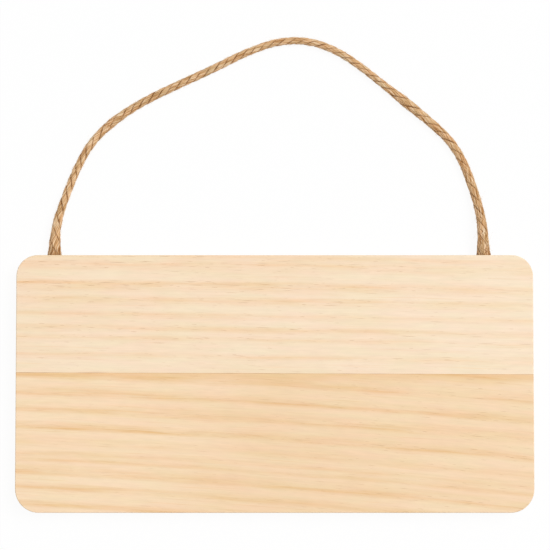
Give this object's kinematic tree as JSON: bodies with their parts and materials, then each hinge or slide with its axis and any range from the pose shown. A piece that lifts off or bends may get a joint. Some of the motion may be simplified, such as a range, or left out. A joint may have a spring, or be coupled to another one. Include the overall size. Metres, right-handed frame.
{
  "type": "hanging wooden plaque",
  "caption": "Blank rectangular pine plaque of boards glued edge to edge, with rounded corners and a jute rope loop set in its top edge for hanging.",
  "frame": {"origin": "middle of the plaque's back face, which lies on the surface", "axes": "+X along the top edge to the right as seen from the front, +Y from the lower board towards the rope, +Z out of the front face"},
  "size_m": [0.24, 0.2232, 0.012],
  "materials": {
    "pale_pine": "planed and sanded pine, unvarnished",
    "amber_pine": "planed and sanded pine, unvarnished",
    "wood_glue": "set wood glue, sanded flush",
    "jute": "three-strand laid jute, natural",
    "clear_glue": "set clear glue"
  },
  "bodies": {
    "plaque": {"upper_board": "pale_pine", "lower_board": "amber_pine", "edge_glue_line": "wood_glue", "rope_tail_left": "jute", "rope_tail_right": "jute", "glue_plug_left": "clear_glue", "glue_plug_right": "clear_glue", "rope_root_left": "jute", "rope_root_right": "jute"},
    "hanger": {"rope_loop": "jute"}
  },
  "joints": [
    {"name": "hanger_fold", "type": "hinge", "parent": "plaque", "child": "hanger", "pos_m": [0, 0.0736, 0.006], "axis": [1, 0, 0], "range_deg": [0, 150], "deforming": ["rope_root_left", "rope_root_right"]}
  ]
}
